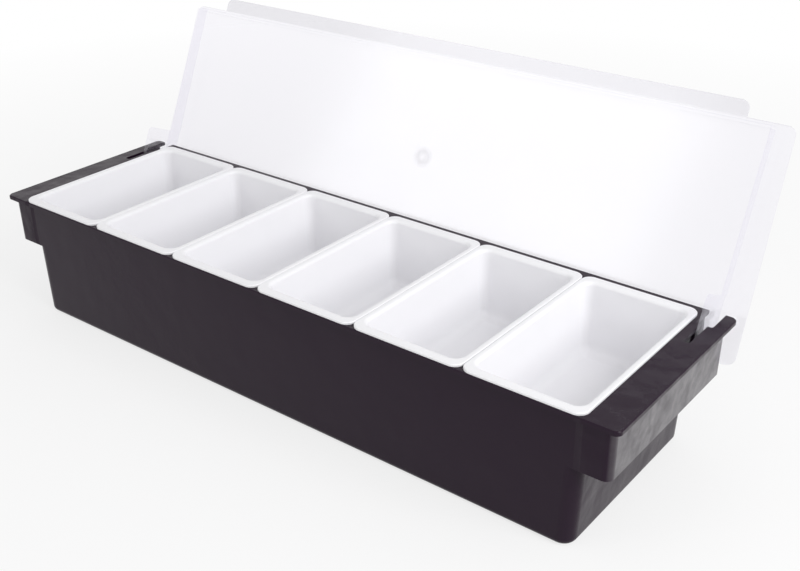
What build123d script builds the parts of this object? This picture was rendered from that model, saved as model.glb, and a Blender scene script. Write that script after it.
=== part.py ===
from build123d import *
from math import atan, degrees, hypot, pi, radians, tan
import os

# Bar garnish tray: a black trough with a hollow wing at each end, six white inserts and a clear hinged lid.
# X runs along the trough, Y from front to back and Z up. The origin is the centre of the trough's underside.
# The lid is drawn open, as it leans back on its stop. Lengths are in millimetres, angles in degrees.

os.makedirs("parts", exist_ok=True)

# Deck: the flat rim that runs round the trough and out over both wings
deck_length = 495.0
deck_height = 88.0
deck_thickness = 2.8
deck_corner = 4.0
deck_edge_chamfer = 0.7
front_overhang = 3.3
back_overhang = 5.2
end_overhang = 4.0

# Trough
trough_depth = 135.8
trough_wall = 2.4
trough_floor = 2.6
wing_reach = 20.6
end_lean = 3.6
side_lean = 0.6
trough_corner = 8.5
base_round = 4.0
floor_round = 5.0

# Wings: skirts hang from the deck round a hollow that is open below
skirt_height = 34.5
skirt_wall = 2.9
skirt_corner = 5.0
skirt_lean = 0.4

# Hinge: a moulded stub on each lug turns in a blind socket inside the end skirt
pivot_from_back = 14.6
pivot_drop = 9.0
pin_radius = 3.0
pin_play = 0.05
pin_tip_chamfer = 0.5
socket_depth = 1.8
socket_end_gap = 0.2
open_angle = 114.0

# Lid
lid_rise = 13.3
panel_thickness = 2.5
panel_corner = 5.0
panel_edge_chamfer = 0.7
front_setback = 2.3
back_reach_over = 0.4
front_end_inset = 2.1
back_end_over = 1.9
lip_reach = 9.7
lip_inset = 30.4
lip_thickness = 2.0
lip_step = 0.5
lip_corner = 5.0
skirt_setback = 3.2
lid_skirt = 2.0
lid_gap = 0.3
rim_gap = 0.6
gate_radius = 4.5
gate_height = 0.4

# Lugs of the lid, and the slots that let them swing
lug_wall = 3.2
lug_end_gap = 4.0
lug_front = 24.5
lug_back = 9.5
lug_drop = 13.5
lug_round = 4.0
slot_play = 0.6
slot_front_play = 0.9
notch_lead = 4.8
notch_half_width = 5.25
notch_drop = 21.0
notch_round = 1.5

# Stop rib under the panel's back edge
rib_width = 2.5
stop_gap = 0.3

# Inserts
insert_count = 6
insert_gap = 0.3
insert_front_setback = 0.8
insert_back_setback = 6.0
row_reach_over = 0.35
rim_thickness = 1.6
rim_corner = 6.5
rim_edge_chamfer = 0.5
cup_wall = 1.5
cup_play = 0.4
cup_depth = 48.0
cup_floor = 1.6
cup_draft = 3.0
cup_corner = 8.0
cup_floor_round = 8.0
cup_mouth_round = 2.4

# Overrun of every cut past the face where it leaves
overrun = 1.0

# Levels and lines that follow from the sizes above
deck_underside = deck_height - deck_thickness
skirt_bottom = deck_height - skirt_height
trough_length = deck_length - 2 * wing_reach
half_top_length = trough_length / 2
half_top_depth = trough_depth / 2
deck_front = half_top_depth + front_overhang
deck_back = half_top_depth + back_overhang
skirt_end = deck_length / 2 - end_overhang
pivot_y = deck_back - pivot_from_back
pivot_z = deck_height - pivot_drop


def half_depth(z):
    """Half the trough's outer depth at a height."""
    return half_top_depth - side_lean * (deck_height - z) / deck_height


def half_skirt(z):
    """Distance of the end skirt's outer face from the middle at a height."""
    return skirt_end - skirt_lean * (deck_underside - z) / skirt_height


def drafted_block(length, depth, level, top, bottom, end_draft, side_draft, corner, base):
    """A block whose walls lean in downwards, with its upright and lower edges rounded.

    Length and depth are its size at the given level.
    """
    with BuildPart() as block:
        with BuildSketch(Plane.XY.offset(top)):
            Rectangle(length, depth)
        extrude(amount=bottom - top)
        draft(block.faces().filter_by(Axis.X), Plane.XY.offset(level), -end_draft)
        draft(block.faces().filter_by(Axis.Y), Plane.XY.offset(level), -side_draft)
        fillet(block.edges().group_by(Axis.Z)[1], radius=corner)
        if base:
            fillet(block.edges().group_by(Axis.Z)[0], radius=base)
    return block.part


# Housing
socket_face = half_skirt(pivot_z) - skirt_wall
lug_outer = socket_face - lug_end_gap
lug_middle = lug_outer - lug_wall / 2
slot_half_width = lug_wall / 2 + slot_play
slot_front = pivot_y - hypot(lug_front, lug_drop) - slot_front_play
notch_front = pivot_y - notch_lead
notch_floor = pivot_z - notch_drop
hollow_bottom = skirt_bottom - overrun
mouth_top = deck_height + overrun

trough_end_draft = degrees(atan(end_lean / deck_height))
trough_side_draft = degrees(atan(side_lean / deck_height))
skirt_draft = degrees(atan(skirt_lean / skirt_height))
skirt_depth = 2 * half_depth(deck_underside)

skirts = drafted_block(
    length=2 * skirt_end,
    depth=skirt_depth,
    level=deck_underside,
    top=deck_underside,
    bottom=skirt_bottom,
    end_draft=skirt_draft,
    side_draft=trough_side_draft,
    corner=skirt_corner,
    base=0,
)
wing_hollow = drafted_block(
    length=2 * (skirt_end - skirt_wall),
    depth=skirt_depth - 2 * skirt_wall,
    level=deck_underside,
    top=deck_underside,
    bottom=hollow_bottom,
    end_draft=skirt_draft,
    side_draft=trough_side_draft,
    corner=skirt_corner - skirt_wall,
    base=0,
)
trough = drafted_block(
    length=trough_length,
    depth=trough_depth,
    level=deck_height,
    top=deck_height,
    bottom=0,
    end_draft=trough_end_draft,
    side_draft=trough_side_draft,
    corner=trough_corner,
    base=base_round,
)
trough_space = drafted_block(
    length=trough_length - 2 * trough_wall,
    depth=trough_depth - 2 * trough_wall,
    level=deck_height,
    top=mouth_top,
    bottom=trough_floor,
    end_draft=trough_end_draft,
    side_draft=trough_side_draft,
    corner=trough_corner - trough_wall,
    base=floor_round,
)

with BuildPart() as housing:
    # skirts of both wings, one ring round the whole length, and the trough within it
    add(skirts)
    add(wing_hollow, mode=Mode.SUBTRACT)
    add(trough)
    # deck
    with BuildSketch(Plane.XY.offset(deck_underside)):
        with Locations((0, (deck_back - deck_front) / 2)):
            RectangleRounded(deck_length, deck_front + deck_back, deck_corner)
    extrude(amount=deck_thickness)
    chamfer(housing.edges().group_by(Axis.Z)[-1], length=deck_edge_chamfer)
    add(trough_space, mode=Mode.SUBTRACT)
    # slots for the lid's lugs
    with BuildSketch(Plane.XY.offset(mouth_top)):
        for side in (-1, 1):
            with Locations((side * lug_middle, slot_front)):
                Rectangle(
                    2 * slot_half_width,
                    notch_front + overrun - slot_front,
                    align=(Align.CENTER, Align.MIN),
                )
        fillet(vertices().group_by(Axis.Y)[0], radius=notch_round)
    extrude(amount=-(deck_thickness + 2 * overrun), mode=Mode.SUBTRACT)
    # notches behind the slots, through the deck and the back skirt
    with BuildSketch(Plane.XY.offset(mouth_top)):
        for side in (-1, 1):
            with Locations((side * lug_middle, notch_front)):
                Rectangle(
                    2 * notch_half_width,
                    deck_back + overrun - notch_front,
                    align=(Align.CENTER, Align.MIN),
                )
        fillet(vertices().group_by(Axis.Y)[0], radius=notch_round)
    extrude(amount=notch_floor - mouth_top, mode=Mode.SUBTRACT)
    # blind sockets for the hinge stubs
    for side in (-1, 1):
        with BuildSketch(Plane.YZ.offset(side * (socket_face - overrun))):
            with Locations((pivot_y, pivot_z)):
                Circle(pin_radius + pin_play)
        extrude(amount=side * (overrun + socket_depth), mode=Mode.SUBTRACT)
housing.part.label = "housing"
export_step(housing.part, "parts/housing.step")

# Inserts
insert_pitch = (trough_length + 2 * row_reach_over) / insert_count
rim_width = insert_pitch - insert_gap
rim_depth = deck_front + deck_back - insert_front_setback - insert_back_setback
rim_centre = insert_front_setback - deck_front + rim_depth / 2
row_end = (insert_count - 1) * insert_pitch / 2
cup_half_width = half_top_length - trough_wall - cup_play - row_end
cup_half_depth = half_top_depth - trough_wall - cup_play - abs(rim_centre)
rim_top = deck_height + rim_thickness
cup_floor_top = rim_top - cup_depth
cup_bottom = cup_floor_top - cup_floor

with BuildPart() as cup:
    with BuildSketch(Plane.XY.offset(deck_height)):
        RectangleRounded(2 * cup_half_width, 2 * cup_half_depth, cup_corner)
    extrude(amount=cup_bottom - deck_height, taper=cup_draft)
    fillet(cup.edges().group_by(Axis.Z)[0], radius=cup_floor_round)

rim_draw = rim_thickness * tan(radians(cup_draft)) - cup_wall
with BuildPart() as cup_space:
    with BuildSketch(Plane.XY.offset(rim_top)):
        RectangleRounded(
            2 * (cup_half_width + rim_draw),
            2 * (cup_half_depth + rim_draw),
            cup_corner + rim_draw,
        )
    extrude(amount=-cup_depth, taper=cup_draft)
    fillet(cup_space.edges().group_by(Axis.Z)[0], radius=cup_floor_round - cup_wall)

for number in range(1, insert_count + 1):
    insert_x = (number - 1) * insert_pitch - row_end
    with BuildPart() as insert:
        with Locations((insert_x, rim_centre)):
            add(cup.part)
        # rim
        with BuildSketch(Plane.XY.offset(deck_height)):
            with Locations((insert_x, rim_centre)):
                RectangleRounded(rim_width, rim_depth, rim_corner)
        extrude(amount=rim_thickness)
        chamfer(insert.edges().group_by(Axis.Z)[-1], length=rim_edge_chamfer)
        with Locations((insert_x, rim_centre)):
            add(cup_space.part, mode=Mode.SUBTRACT)
        # rounded mouth
        fillet(
            insert.faces().sort_by(Axis.Z)[-1].inner_wires()[0].edges(),
            radius=cup_mouth_round,
        )
    insert.part.label = f"insert_{number}"
    export_step(insert.part, f"parts/insert_{number}.step")

# Lid, drawn in its own plane: the hinge line is the origin, and closed it would lie level
panel_top = pivot_drop + lid_rise
panel_under = panel_top - panel_thickness
front_reach = pivot_y + deck_front - front_setback
back_reach = pivot_from_back + back_reach_over
front_half = deck_length / 2 - front_end_inset
back_half = deck_length / 2 + back_end_over
lip_half = front_half - lip_inset
side_bottom = pivot_drop + lid_gap
front_bottom = pivot_drop + rim_thickness + rim_gap
skirt_line = front_reach - skirt_setback
lid_plane = Plane(
    origin=(0, pivot_y, pivot_z),
    x_dir=(1, 0, 0),
    z_dir=Vector(0, 0, 1).rotate(Axis.X, -open_angle),
)
# the rib comes down until it nearly meets the trough's back face when the lid is open
lid_axis = Axis(origin=lid_plane.origin, direction=lid_plane.z_dir)
lean = radians(open_angle) - pi / 2
back_face = half_depth(pivot_z) - pivot_y
rib_bottom = (back_face + stop_gap) / abs(lid_plane.z_dir.Y) + back_reach * tan(lean)

with BuildPart() as lid:
    # panel, a little longer at the back
    with BuildSketch(lid_plane.offset(panel_under)):
        with BuildLine():
            Polyline(
                (-front_half, -front_reach),
                (front_half, -front_reach),
                (back_half, back_reach),
                (-back_half, back_reach),
                close=True,
            )
        make_face()
        fillet(vertices(), radius=panel_corner)
    extrude(amount=panel_thickness)
    chamfer(lid.edges().group_by(lid_axis)[-1], length=panel_edge_chamfer)
    # finger lip in front
    with BuildSketch(lid_plane.offset(panel_top - lip_step - lip_thickness)):
        with Locations((0, -front_reach - lip_reach)):
            Rectangle(2 * lip_half, lip_reach + lid_skirt, align=(Align.CENTER, Align.MIN))
        fillet(vertices().group_by(Axis.Y)[0], radius=lip_corner)
    extrude(amount=lip_thickness)
    # front and side skirts
    with BuildSketch(lid_plane.offset(front_bottom)):
        with Locations((0, -skirt_line)):
            Rectangle(2 * lug_middle, lid_skirt)
    extrude(amount=panel_under - front_bottom)
    with BuildSketch(lid_plane.offset(side_bottom)):
        for side in (-1, 1):
            with Locations((side * lug_middle, (back_reach - skirt_line) / 2)):
                Rectangle(lid_skirt, back_reach + skirt_line)
    extrude(amount=panel_under - side_bottom)
    # stop rib
    with BuildSketch(lid_plane.offset(rib_bottom)):
        with Locations((0, back_reach - rib_width / 2)):
            Rectangle(2 * (back_half - panel_corner), rib_width)
    extrude(amount=panel_under - rib_bottom)
    # hinge lugs and their stubs
    for side in (-1, 1):
        lug_plane = Plane(
            origin=(side * lug_middle, pivot_y, pivot_z),
            x_dir=lid_plane.y_dir,
            z_dir=(1, 0, 0),
        )
        with BuildSketch(lug_plane):
            with BuildLine():
                Polyline(
                    (-lug_front, -lug_drop),
                    (lug_back, -lug_drop),
                    (lug_back, panel_under),
                    (-lug_front, panel_under),
                    close=True,
                )
            make_face()
            fillet(vertices().group_by(Axis.Y)[0], radius=lug_round)
        extrude(amount=lug_wall / 2, both=True)
        with BuildSketch(lug_plane):
            Circle(pin_radius)
        extrude(amount=side * (socket_face + socket_depth - socket_end_gap - lug_middle))
        outward = Axis((0, 0, 0), (side, 0, 0))
        chamfer(lid.edges(Select.LAST).group_by(outward)[-1], length=pin_tip_chamfer)
    # gate mark in the middle of the panel
    with BuildSketch(lid_plane.offset(panel_top)):
        with Locations((0, (back_reach - front_reach) / 2)):
            Circle(gate_radius)
    extrude(amount=gate_height)
lid.part.label = "lid"
export_step(lid.part, "parts/lid.step")
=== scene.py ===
import bpy
import math
from mathutils import Euler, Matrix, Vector

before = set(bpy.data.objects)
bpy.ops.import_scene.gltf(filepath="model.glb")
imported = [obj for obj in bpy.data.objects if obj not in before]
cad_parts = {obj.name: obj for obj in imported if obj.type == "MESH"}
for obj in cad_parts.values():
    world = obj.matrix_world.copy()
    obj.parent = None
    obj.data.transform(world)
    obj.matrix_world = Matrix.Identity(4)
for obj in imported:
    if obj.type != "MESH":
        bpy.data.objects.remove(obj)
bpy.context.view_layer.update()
print("frame loaded:", len(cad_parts), "pieces of the tray")


class Wire:
    # an output socket of a node tree, or just the tree; arithmetic on it adds Math nodes
    def __init__(self, tree, socket=None):
        self.tree = tree
        self.socket = socket

    # the one way to make a node: its settings go in first, then its inputs; out picks the output
    def node(self, kind, settings, inputs, out=0):
        made = self.tree.nodes.new(kind)
        for name, value in settings.items():
            setattr(made, name, value)
        for name, value in inputs.items():
            if isinstance(value, Wire):
                self.tree.links.new(value.socket, made.inputs[name])
            else:
                made.inputs[name].default_value = value
        return Wire(self.tree, made.outputs[out]) if len(made.outputs) else made

    def math(self, operation, first, second=0.0):
        return self.node("ShaderNodeMath", {"operation": operation}, {0: first, 1: second})

    def __add__(self, other):
        return self.math("ADD", self, other)

    def __radd__(self, other):
        return self.math("ADD", other, self)

    def __sub__(self, other):
        return self.math("SUBTRACT", self, other)

    def __rsub__(self, other):
        return self.math("SUBTRACT", other, self)

    def __mul__(self, other):
        return self.math("MULTIPLY", self, other)

    def __rmul__(self, other):
        return self.math("MULTIPLY", other, self)

    def __pow__(self, other):
        return self.math("POWER", self, other)

    def __rpow__(self, other):
        return self.math("POWER", other, self)


def newMaterial(name):
    material = bpy.data.materials.new(name)
    material.use_nodes = True
    material.node_tree.nodes.clear()
    return material, Wire(material.node_tree)


def objectPlace(board):
    # metres in the piece's own frame, so a finish moves with its piece
    return board.node("ShaderNodeTexCoord", {}, {}, out="Object")


def axisOf(place, axis):
    return place.node("ShaderNodeSeparateXYZ", {}, {"Vector": place}, out=axis)


def noise(place, scale, detail, rough=0.5):
    # its middle is about 0.5
    inputs = {"Vector": place, "Scale": scale, "Detail": detail, "Roughness": rough}
    return place.node("ShaderNodeTexNoise", {}, inputs)


def vectorMath(operation, first, second, out="Vector"):
    return first.node("ShaderNodeVectorMath", {"operation": operation}, {0: first, 1: second}, out)


def blendColor(mask, first, second):
    # a Mix node's colours are its inputs 6 and 7 and its output 2
    return mask.node("ShaderNodeMix", {"data_type": "RGBA"}, {0: mask, 6: first, 7: second}, out=2)


def mixShaders(mask, first, second):
    return mask.node("ShaderNodeMixShader", {}, {0: mask, 1: first, 2: second})


def fade(value, low, high):
    # 0 below low, 1 above high
    inputs = {"Value": value, "From Min": low, "From Max": high, "To Min": 0.0, "To Max": 1.0}
    return value.node("ShaderNodeMapRange", {"clamp": True}, inputs)


def bump(height, strength, distance):
    return height.node("ShaderNodeBump", {}, {"Height": height, "Strength": strength, "Distance": distance})


def bumpOver(under, height, strength, distance):
    inputs = {"Height": height, "Strength": strength, "Distance": distance, "Normal": under}
    return height.node("ShaderNodeBump", {}, inputs)


def plasticShader(board, inputs):
    return board.node("ShaderNodeBsdfPrincipled", {}, inputs)


def showSurface(board, surface):
    board.node("ShaderNodeOutputMaterial", {}, {"Surface": surface})


def giveMaterial(names, material):
    for name in names:
        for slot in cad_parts[name].material_slots:
            slot.material = material


# black trough: satin moulded plastic, a fine grain over faint moulding waves; lengths in metres
trough = {
    "names": ["housing"],
    "color": (0.0150, 0.0058, 0.0158, 1.0),
    "worn": (0.0220, 0.0150, 0.0215, 1.0),
    "ior": 1.50,
    "specular": 0.16,
    "specularTint": (1.0, 0.97, 1.0, 1.0),
    "roughness": 0.23,
    "roughnessSpread": 0.16,
    "cloudScale": 24.0,
    "cloudDetail": 5.0,
    "cloudRough": 0.6,
    "cloudColor": 0.25,
    "grainScale": 1900.0,
    "grainDetail": 2.0,
    "grainStrength": 0.6,
    "grainHeight": 0.00003,
    "waveScale": 55.0,
    "waveDetail": 2.0,
    "waveRough": 0.4,
    "waveStrength": 0.5,
    "waveHeight": 0.0006,
    # the end walls and the wings' skirts are moulded wavier than the long walls
    "endWaveTimes": 5.0,
    "endStart": 0.222,
    "endFull": 0.226,
    # scuffs gather low down, where the tray slides over a counter
    "scuffTop": 0.007,
    "scuffScale": 420.0,
    "scuffDetail": 3.0,
    "scuffRough": 0.7,
    "scuffFrom": 0.52,
    "scuffTo": 0.70,
    "scuffDulls": 0.15,
    # hands polish the outer faces of the two grips in patches
    "gripStart": 0.2405,
    "gripFull": 0.2418,
    "gripTop": 0.0845,
    "gripEdge": 0.0010,
    "gripScale": 70.0,
    "gripDetail": 3.0,
    "gripRough": 0.6,
    "gripFrom": 0.34,
    "gripTo": 0.56,
    "gripGloss": 0.5,
    "gripPatches": 0.4,
    "gripRoughness": 0.16,
}


def makeTroughPlastic():
    material, board = newMaterial("blackPlastic")
    place = objectPlace(board)
    cloud = noise(place, trough["cloudScale"], trough["cloudDetail"], trough["cloudRough"])
    grain = noise(place, trough["grainScale"], trough["grainDetail"])
    wave = noise(place, trough["waveScale"], trough["waveDetail"], trough["waveRough"])
    scuff = noise(place, trough["scuffScale"], trough["scuffDetail"], trough["scuffRough"])
    spots = noise(place, trough["gripScale"], trough["gripDetail"], trough["gripRough"])
    height = axisOf(place, "Z")
    reach = board.math("ABSOLUTE", axisOf(place, "X"))
    # scuffs near the counter
    low = 1 - fade(height, 0.0, trough["scuffTop"])
    worn = low * fade(scuff, trough["scuffFrom"], trough["scuffTo"])
    # polish on the grips, below the deck's edge
    grip = fade(reach, trough["gripStart"], trough["gripFull"])
    under = 1 - fade(height, trough["gripTop"] - trough["gripEdge"], trough["gripTop"])
    patches = fade(spots, trough["gripFrom"], trough["gripTo"])
    # waves, larger at the ends, with the grain over them
    ends = fade(reach, trough["endStart"], trough["endFull"])
    wavy = wave * (ends * (trough["endWaveTimes"] - 1) + 1)
    swell = bump(wavy, trough["waveStrength"], trough["waveHeight"])
    spread = (cloud - 0.5) * trough["roughnessSpread"]
    plastic = plasticShader(board, {
        "Base Color": blendColor(cloud * trough["cloudColor"] + worn, trough["color"], trough["worn"]),
        "Roughness": spread + trough["roughness"] + worn * trough["scuffDulls"],
        "Normal": bumpOver(swell, grain, trough["grainStrength"], trough["grainHeight"]),
        "IOR": trough["ior"],
        "Specular IOR Level": trough["specular"],
        "Specular Tint": trough["specularTint"],
        "Coat Weight": grip * under * (patches * trough["gripPatches"] + trough["gripGloss"]),
        "Coat Roughness": trough["gripRoughness"],
    })
    showSurface(board, plastic)
    return material


# white inserts: smooth semi-gloss plastic, a little cool
insert = {
    "names": ["insert_1", "insert_2", "insert_3", "insert_4", "insert_5", "insert_6"],
    "color": (0.900, 0.896, 0.920, 1.0),
    "pale": (0.918, 0.914, 0.935, 1.0),
    "ior": 1.49,
    "roughness": 0.32,
    "roughnessSpread": 0.10,
    "cloudScale": 38.0,
    "cloudDetail": 3.0,
    "peelScale": 260.0,
    "peelDetail": 1.0,
    "peelStrength": 0.5,
    "peelHeight": 0.00001,
    "waveScale": 30.0,
    "waveDetail": 1.0,
    "waveStrength": 0.4,
    "waveHeight": 0.0001,
}


def makeInsertPlastic():
    material, board = newMaterial("whitePlastic")
    place = objectPlace(board)
    cloud = noise(place, insert["cloudScale"], insert["cloudDetail"])
    peel = noise(place, insert["peelScale"], insert["peelDetail"])
    wave = noise(place, insert["waveScale"], insert["waveDetail"])
    swell = bump(wave, insert["waveStrength"], insert["waveHeight"])
    plastic = plasticShader(board, {
        "Base Color": blendColor(cloud, insert["color"], insert["pale"]),
        "Roughness": (cloud - 0.5) * insert["roughnessSpread"] + insert["roughness"],
        "Normal": bumpOver(swell, peel, insert["peelStrength"], insert["peelHeight"]),
        "IOR": insert["ior"],
    })
    showSurface(board, plastic)
    return material


# clear lid: what is behind it shows straight through, tinted and a little clouded at each face
lid = {
    "names": ["lid"],
    "tint": (0.980, 0.976, 0.992, 1.0),
    "haze": (0.85, 0.84, 0.89, 1.0),
    "hazeRoughness": 0.6,
    "hazeAmount": 0.03,
    "hazeSpread": 0.02,
    "cloudScale": 16.0,
    "cloudDetail": 3.0,
    "gloss": (0.95, 0.95, 0.97, 1.0),
    "sheen": 0.04,  # share of light that each face mirrors straight on
    "sheenPower": 5,
    "sheenBlend": 0.5,
    "roughness": 0.10,
    "roughnessSpread": 0.10,
    "waveScale": 9.0,
    "waveDetail": 1.0,
    "waveStrength": 0.3,
    "waveHeight": 0.0005,
    # the finger lip starts this far from the hinge line, measured up the open panel
    "hinge": (0.0, 0.0585, 0.0790),
    "upward": (0.0, 0.4067, 0.9135),
    "lipStart": 0.1268,
    "lipFull": 0.1278,
    # painted shade on the finger lip: a grey colour and a thicker haze stand in for the dark its thick edge
    # shows; the gate ring's haze shares this grey
    "lipShadeAndGateColor": (0.66, 0.65, 0.68, 1.0),
    "lipPaintedShade": 0.18,
    # a clouded ring round the mark that the moulding gate leaves in the middle of the panel
    "gate": (0.0, 0.1017, 0.1213),
    "gateRadius": 0.0044,
    "gateWidth": 0.0038,
    "gateHaze": 0.20,
}


def makeLidPlastic():
    material, board = newMaterial("clearPlastic")
    place = objectPlace(board)
    cloud = noise(place, lid["cloudScale"], lid["cloudDetail"])
    wave = noise(place, lid["waveScale"], lid["waveDetail"])
    fromHinge = vectorMath("SUBTRACT", place, lid["hinge"])
    climb = vectorMath("DOT_PRODUCT", fromHinge, lid["upward"], out="Value")
    # painted shade: where the finger lip is, the pane is greyed and clouded more
    shadedLip = fade(climb, lid["lipStart"], lid["lipFull"])
    fromGate = vectorMath("DISTANCE", place, lid["gate"], out="Value")
    ring = 1 - fade(board.math("ABSOLUTE", fromGate - lid["gateRadius"]), 0.0, lid["gateWidth"])
    through = board.node("ShaderNodeBsdfTransparent", {}, {"Color": lid["tint"]})
    # the haze turns grey on the finger lip, which is painted shade, and on the gate ring
    milk = plasticShader(board, {
        "Base Color": blendColor(shadedLip + ring, lid["haze"], lid["lipShadeAndGateColor"]),
        "Roughness": lid["hazeRoughness"],
    })
    gloss = plasticShader(board, {
        "Base Color": lid["gloss"],
        "Metallic": 1.0,
        "Roughness": cloud * lid["roughnessSpread"] + lid["roughness"],
        "Normal": bump(wave, lid["waveStrength"], lid["waveHeight"]),
    })
    # the extra cloud over the finger lip is painted shade
    lipShadeExtra = shadedLip * (lid["lipPaintedShade"] - lid["hazeAmount"])
    veil = cloud * lid["hazeSpread"] + lid["hazeAmount"] + lipShadeExtra + ring * lid["gateHaze"]
    pane = mixShaders(veil, through, milk)
    # the same sheen on both faces of the pane: low straight on, full at a grazing look
    slant = board.node("ShaderNodeLayerWeight", {}, {"Blend": lid["sheenBlend"]}, out="Facing")
    mirror = slant ** lid["sheenPower"] * (1 - lid["sheen"]) + lid["sheen"]
    showSurface(board, mixShaders(mirror, pane, gloss))
    return material


giveMaterial(trough["names"], makeTroughPlastic())
giveMaterial(insert["names"], makeInsertPlastic())
giveMaterial(lid["names"], makeLidPlastic())
print("finishes given to the trough, the inserts and the lid")

# camera: fitted to the edges of the photograph; angles in degrees, lens and sensor in millimetres
camera = {
    "place": (0.43725, -0.48791, 0.40032),
    "turn": 37.86,
    "tilt": -27.39,
    "roll": -0.28,
    "lens": 50.16,
    "sensor": 36.0,
    "farEnd": 50.0,
}


def addCamera():
    data = bpy.data.cameras.new("camera")
    data.lens = camera["lens"]
    data.sensor_width = camera["sensor"]
    data.clip_end = camera["farEnd"]
    eye = bpy.data.objects.new("camera", data)
    bpy.context.scene.collection.objects.link(eye)
    eye.location = camera["place"]
    # a Blender camera looks straight down, so 90 degrees bring it level before it tilts
    aim = Euler((math.radians(90.0 + camera["tilt"]), 0.0, math.radians(camera["turn"])))
    roll = Euler((0.0, 0.0, math.radians(camera["roll"])))
    eye.rotation_euler = (aim.to_matrix() @ roll.to_matrix()).to_euler()
    bpy.context.scene.camera = eye


# studio: a pale floor that melts into a white background, and an even sky
studio = {
    "floorSize": 12.0,
    "floorColor": (0.90, 0.90, 0.905, 1.0),
    "floorLift": 0.72,  # share of plain white that the floor near the tray shows to the camera
    "fadeStart": 0.40,
    "fadeEnd": 0.95,
    "white": (1.0, 1.0, 1.0, 1.0),
    "skyStrength": 0.65,
}


def shownRays(board):
    # 1 for what the camera sees, straight, mirrored or through something
    seen = board.node("ShaderNodeLightPath", {}, {}, out="Is Camera Ray")
    glossy = board.node("ShaderNodeLightPath", {}, {}, out="Is Glossy Ray")
    through = board.node("ShaderNodeLightPath", {}, {}, out="Is Transmission Ray")
    return board.math("MAXIMUM", board.math("MAXIMUM", seen, glossy), through)


def addFloor():
    half = studio["floorSize"] / 2
    mesh = bpy.data.meshes.new("floor")
    corners = [(-half, -half, 0.0), (half, -half, 0.0), (half, half, 0.0), (-half, half, 0.0)]
    mesh.from_pydata(corners, [], [(0, 1, 2, 3)])
    floor = bpy.data.objects.new("floor", mesh)
    bpy.context.scene.collection.objects.link(floor)
    material, board = newMaterial("paleFloor")
    place = objectPlace(board)
    away = board.node("ShaderNodeVectorMath", {"operation": "LENGTH"}, {0: place}, out="Value")
    far = fade(away, studio["fadeStart"], studio["fadeEnd"])
    lift = (far * (1 - studio["floorLift"]) + studio["floorLift"]) * shownRays(board)
    matt = board.node("ShaderNodeBsdfDiffuse", {}, {"Color": studio["floorColor"]})
    glow = board.node("ShaderNodeEmission", {}, {"Color": studio["white"], "Strength": 1.0})
    showSurface(board, mixShaders(lift, matt, glow))
    mesh.materials.append(material)


def addSky():
    world = bpy.data.worlds.new("sky")
    bpy.context.scene.world = world
    world.use_nodes = True
    world.node_tree.nodes.clear()
    board = Wire(world.node_tree)
    skyLight = {"Color": studio["white"], "Strength": studio["skyStrength"]}
    even = board.node("ShaderNodeBackground", {}, skyLight)
    backdrop = board.node("ShaderNodeBackground", {}, {"Color": studio["white"], "Strength": 1.0})
    sky = mixShaders(shownRays(board), even, backdrop)
    board.node("ShaderNodeOutputWorld", {}, {"Surface": sky})


# key light from the right of the tray
keyLamp = {
    "name": "keyLamp",
    "place": (1.15, -0.10, 0.75),
    "aim": (0.0, 0.0, 0.05),
    "size": (0.7, 0.7),
    "power": 8.7,
}

# soft box that the open lid mirrors
lidLamp = {
    "name": "lidLamp",
    "place": (-0.93, -1.48, 0.83),
    "aim": (0.03, 0.11, 0.14),
    "size": (0.82, 0.72),
    "power": 3.2,
}


def addLamp(facts):
    data = bpy.data.lights.new(facts["name"], "AREA")
    data.shape = "RECTANGLE"
    data.size, data.size_y = facts["size"]
    data.energy = facts["power"]
    lamp = bpy.data.objects.new(facts["name"], data)
    bpy.context.scene.collection.objects.link(lamp)
    lamp.location = facts["place"]
    toward = Vector(facts["aim"]) - Vector(facts["place"])
    lamp.rotation_euler = toward.to_track_quat("-Z", "Y").to_euler()


addCamera()
addFloor()
addSky()
addLamp(keyLamp)
addLamp(lidLamp)
bpy.context.scene.view_settings.view_transform = "Standard"
print("camera, floor and lights in place")
